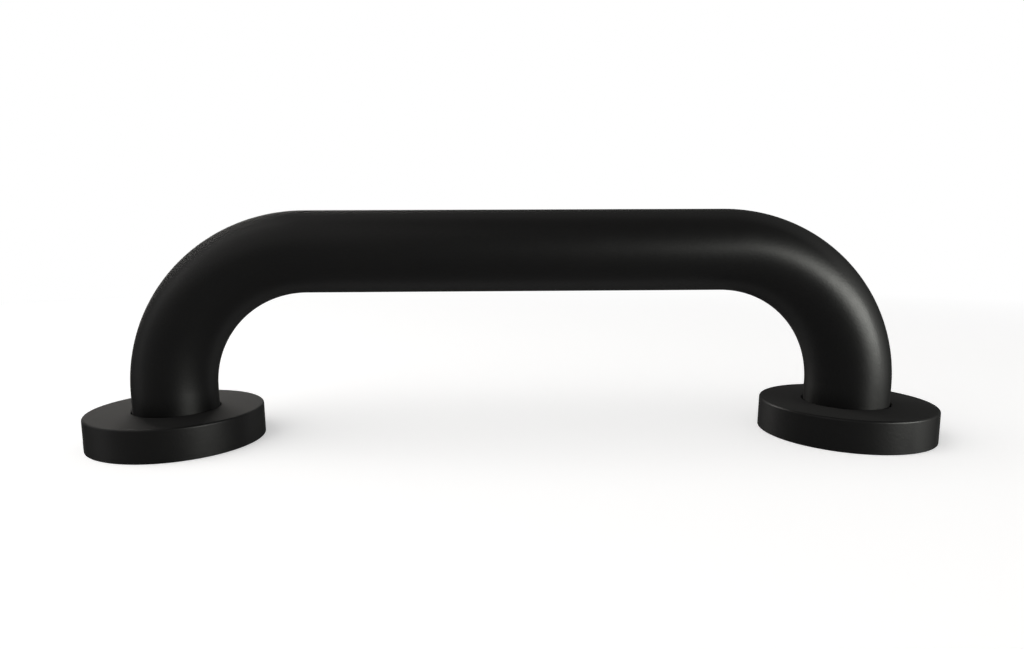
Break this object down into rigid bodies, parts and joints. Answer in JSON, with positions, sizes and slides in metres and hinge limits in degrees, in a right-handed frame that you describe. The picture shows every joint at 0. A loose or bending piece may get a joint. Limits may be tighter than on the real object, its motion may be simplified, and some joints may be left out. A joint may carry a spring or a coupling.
{
  "type": "grab bar",
  "caption": "Tubular wall grab bar bent into a shallow U, welded to round mounting plates hidden under pressed covers that slide up the legs to reach the fixing holes.",
  "frame": {"origin": "on the wall plane, midway between the axes of the two legs", "axes": "+X along the bar from the left leg to the right leg, +Y across it, +Z square out of the wall"},
  "size_m": [0.373, 0.073, 0.0995],
  "materials": {
    "rail_coating": "satin black powder coat on steel tube",
    "cover_coating": "satin black powder coat on pressed steel sheet",
    "plate_coating": "thin black powder coat on steel plate",
    "weld_coating": "thin black powder coat over a weld bead"
  },
  "bodies": {
    "rail": {"rail": "rail_coating", "left_mounting_plate": "plate_coating", "right_mounting_plate": "plate_coating", "left_weld_bead": "weld_coating", "right_weld_bead": "weld_coating"},
    "left_cover": {"left_cover": "cover_coating"},
    "right_cover": {"right_cover": "cover_coating"}
  },
  "joints": [
    {"name": "left_cover_slide", "type": "slide", "parent": "rail", "child": "left_cover", "axis": [0, 0, 1], "range_m": [0, 0.012]},
    {"name": "right_cover_slide", "type": "slide", "parent": "rail", "child": "right_cover", "axis": [0, 0, 1], "range_m": [0, 0.012]}
  ]
}
